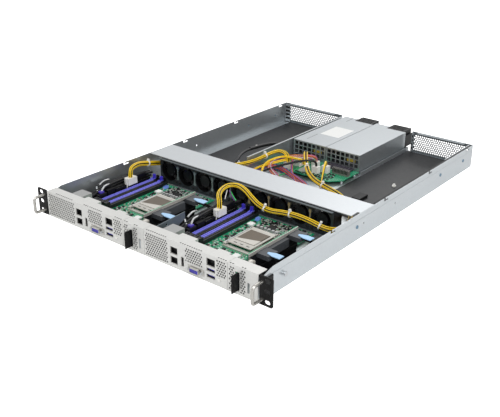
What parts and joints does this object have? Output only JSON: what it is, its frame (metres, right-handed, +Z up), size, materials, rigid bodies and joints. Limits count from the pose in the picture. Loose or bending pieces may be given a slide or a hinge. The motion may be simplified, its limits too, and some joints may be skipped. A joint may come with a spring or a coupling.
{
  "type": "rack server",
  "caption": "Slim rack server with its covers off: circuit boards at the front, a wall of small fans, wiring looms and slide-out power supplies at the rear.",
  "frame": {"origin": "middle of the base: the middle of the bounding box in plan, at its bottom", "axes": "X to the right seen from the front, Y from the front to the rear, Z up"},
  "size_m": [0.4826, 0.6946, 0.0477],
  "materials": {
    "galvanised_steel": "zinc-plated sheet, satin",
    "bright_steel": "plain satin sheet",
    "dark_steel": "dull plated sheet",
    "black_paint": "satin powder coat",
    "cast_handle": "satin",
    "screw_zinc": "zinc plated",
    "green_board": "solder mask",
    "port_metal": "tin plated",
    "blue_plastic": "moulded",
    "slot_plastic": "moulded",
    "clip_blue": "moulded",
    "black_plastic": "moulded",
    "grey_plastic": "moulded",
    "white_plastic": "moulded",
    "tab_plastic": "sheet",
    "fan_plastic": "moulded",
    "soft_rubber": "moulded",
    "spreader": "nickel plated",
    "film": "insulating sheet",
    "yellow_wire": "wire insulation",
    "mixed_wire": "wire insulation",
    "black_wire": "cable jacket"
  },
  "bodies": {
    "chassis": {"black_cable": "black_wire", "board_parts": "black_plastic", "bridge_plate": "bright_steel", "centre_divider": "galvanised_steel", "chassis_tray": "galvanised_steel", "circuit_boards": "green_board", "display_ports": "blue_plastic", "ears": "black_paint", "fan_bracket": "dark_steel", "fan_frames": "fan_plastic", "fan_mounts": "soft_rubber", "fasteners": "screw_zinc", "floor_sheets": "film", "handles": "cast_handle", "harness_left": "yellow_wire", "harness_right": "yellow_wire", "io_panels": "galvanised_steel", "io_ports": "port_metal", "loom_plugs": "white_plastic", "memory_slots": "slot_plastic", "nylon_ties": "white_plastic", "processors": "spreader", "psu_bay": "galvanised_steel", "pull_tabs": "tab_plastic", "rear_grilles": "galvanised_steel", "riser_plugs": "grey_plastic", "riser_rails": "galvanised_steel", "signal_wires": "mixed_wire", "slot_panels": "galvanised_steel", "socket_frames": "port_metal"},
    "fan_1": {"fan_rotor_1": "fan_plastic"},
    "fan_2": {"fan_rotor_2": "fan_plastic"},
    "fan_3": {"fan_rotor_3": "fan_plastic"},
    "fan_4": {"fan_rotor_4": "fan_plastic"},
    "fan_5": {"fan_rotor_5": "fan_plastic"},
    "fan_6": {"fan_rotor_6": "fan_plastic"},
    "fan_7": {"fan_rotor_7": "fan_plastic"},
    "fan_8": {"fan_rotor_8": "fan_plastic"},
    "fan_9": {"fan_rotor_9": "fan_plastic"},
    "supply_1": {"psu_case_1": "galvanised_steel", "psu_core_1": "grey_plastic", "psu_hood_1": "black_plastic"},
    "supply_latch_1": {"psu_latch_1": "black_plastic"},
    "supply_2": {"psu_case_2": "galvanised_steel", "psu_core_2": "grey_plastic", "psu_hood_2": "black_plastic"},
    "supply_latch_2": {"psu_latch_2": "black_plastic"},
    "slot_latch_left_body": {"slot_latch_left": "black_plastic"},
    "button_left": {"power_button_left": "white_plastic"},
    "plate_left": {"load_plate_left": "port_metal"},
    "lever_left": {"load_lever_left": "port_metal"},
    "clips_blue_left": {"memory_clips_blue_left": "clip_blue"},
    "clips_black_left": {"memory_clips_black_left": "black_plastic"},
    "slot_latch_right_body": {"slot_latch_right": "black_plastic"},
    "button_right": {"power_button_right": "white_plastic"},
    "plate_right": {"load_plate_right": "port_metal"},
    "lever_right": {"load_lever_right": "port_metal"},
    "clips_blue_right": {"memory_clips_blue_right": "clip_blue"},
    "clips_black_right": {"memory_clips_black_right": "black_plastic"}
  },
  "joints": [
    {"name": "fan_spin_1", "type": "hinge", "parent": "chassis", "child": "fan_1", "pos_m": [-0.166, -0.08225, 0.0214], "axis": [0, 1, 0], "continuous": true},
    {"name": "fan_spin_2", "type": "hinge", "parent": "chassis", "child": "fan_2", "pos_m": [-0.1252, -0.08225, 0.0214], "axis": [0, 1, 0], "continuous": true},
    {"name": "fan_spin_3", "type": "hinge", "parent": "chassis", "child": "fan_3", "pos_m": [-0.0844, -0.08225, 0.0214], "axis": [0, 1, 0], "continuous": true},
    {"name": "fan_spin_4", "type": "hinge", "parent": "chassis", "child": "fan_4", "pos_m": [-0.0436, -0.08225, 0.0214], "axis": [0, 1, 0], "continuous": true},
    {"name": "fan_spin_5", "type": "hinge", "parent": "chassis", "child": "fan_5", "pos_m": [-0.0028, -0.08225, 0.0214], "axis": [0, 1, 0], "continuous": true},
    {"name": "fan_spin_6", "type": "hinge", "parent": "chassis", "child": "fan_6", "pos_m": [0.038, -0.08225, 0.0214], "axis": [0, 1, 0], "continuous": true},
    {"name": "fan_spin_7", "type": "hinge", "parent": "chassis", "child": "fan_7", "pos_m": [0.0788, -0.08225, 0.0214], "axis": [0, 1, 0], "continuous": true},
    {"name": "fan_spin_8", "type": "hinge", "parent": "chassis", "child": "fan_8", "pos_m": [0.1196, -0.08225, 0.0214], "axis": [0, 1, 0], "continuous": true},
    {"name": "fan_spin_9", "type": "hinge", "parent": "chassis", "child": "fan_9", "pos_m": [0.1604, -0.08225, 0.0214], "axis": [0, 1, 0], "continuous": true},
    {"name": "supply_slide_1", "type": "slide", "parent": "chassis", "child": "supply_1", "axis": [0, 1, 0], "range_m": [0, 0.18]},
    {"name": "supply_latch_turn_1", "type": "hinge", "parent": "supply_1", "child": "supply_latch_1", "pos_m": [0.0054, 0.31845, 0.02], "axis": [0, 0, 1], "range_deg": [0, 2.5], "stiffness_Nm_per_rad": 0.5},
    {"name": "supply_slide_2", "type": "slide", "parent": "chassis", "child": "supply_2", "axis": [0, 1, 0], "range_m": [0, 0.18]},
    {"name": "supply_latch_turn_2", "type": "hinge", "parent": "supply_2", "child": "supply_latch_2", "pos_m": [0.0799, 0.31845, 0.02], "axis": [0, 0, 1], "range_deg": [0, 2.5], "stiffness_Nm_per_rad": 0.5},
    {"name": "slot_latch_turn_left", "type": "hinge", "parent": "chassis", "child": "slot_latch_left_body", "pos_m": [-0.023, -0.31925, 0.0195], "axis": [0, 0, 1], "range_deg": [0, 12], "stiffness_Nm_per_rad": 0.2},
    {"name": "button_push_left", "type": "slide", "parent": "chassis", "child": "button_left", "axis": [0, 1, 0], "range_m": [0, 0.0007], "stiffness_N_per_m": 900},
    {"name": "load_plate_lift_left", "type": "hinge", "parent": "chassis", "child": "plate_left", "pos_m": [-0.0995, -0.16745, 0.0114], "axis": [-1, 0, 0], "range_deg": [0, 95]},
    {"name": "load_lever_lift_left", "type": "hinge", "parent": "chassis", "child": "lever_left", "pos_m": [-0.1234, -0.23325, 0.0095], "axis": [1, 0, 0], "range_deg": [0, 90]},
    {"name": "clips_blue_swing_left", "type": "hinge", "parent": "chassis", "child": "clips_blue_left", "pos_m": [-0.165, -0.12225, 0.0088], "axis": [-1, 0, 0], "range_deg": [0, 25]},
    {"name": "clips_black_swing_left", "type": "hinge", "parent": "chassis", "child": "clips_black_left", "pos_m": [-0.165, -0.12225, 0.0088], "axis": [-1, 0, 0], "range_deg": [0, 25]},
    {"name": "slot_latch_turn_right", "type": "hinge", "parent": "chassis", "child": "slot_latch_right_body", "pos_m": [0.182, -0.31925, 0.0195], "axis": [0, 0, 1], "range_deg": [0, 12], "stiffness_Nm_per_rad": 0.2},
    {"name": "button_push_right", "type": "slide", "parent": "chassis", "child": "button_right", "axis": [0, 1, 0], "range_m": [0, 0.0007], "stiffness_N_per_m": 900},
    {"name": "load_plate_lift_right", "type": "hinge", "parent": "chassis", "child": "plate_right", "pos_m": [0.1055, -0.16745, 0.0114], "axis": [-1, 0, 0], "range_deg": [0, 95]},
    {"name": "load_lever_lift_right", "type": "hinge", "parent": "chassis", "child": "lever_right", "pos_m": [0.0816, -0.23325, 0.0095], "axis": [1, 0, 0], "range_deg": [0, 90]},
    {"name": "clips_blue_swing_right", "type": "hinge", "parent": "chassis", "child": "clips_blue_right", "pos_m": [0.04, -0.12225, 0.0088], "axis": [-1, 0, 0], "range_deg": [0, 25]},
    {"name": "clips_black_swing_right", "type": "hinge", "parent": "chassis", "child": "clips_black_right", "pos_m": [0.04, -0.12225, 0.0088], "axis": [-1, 0, 0], "range_deg": [0, 25]}
  ]
}
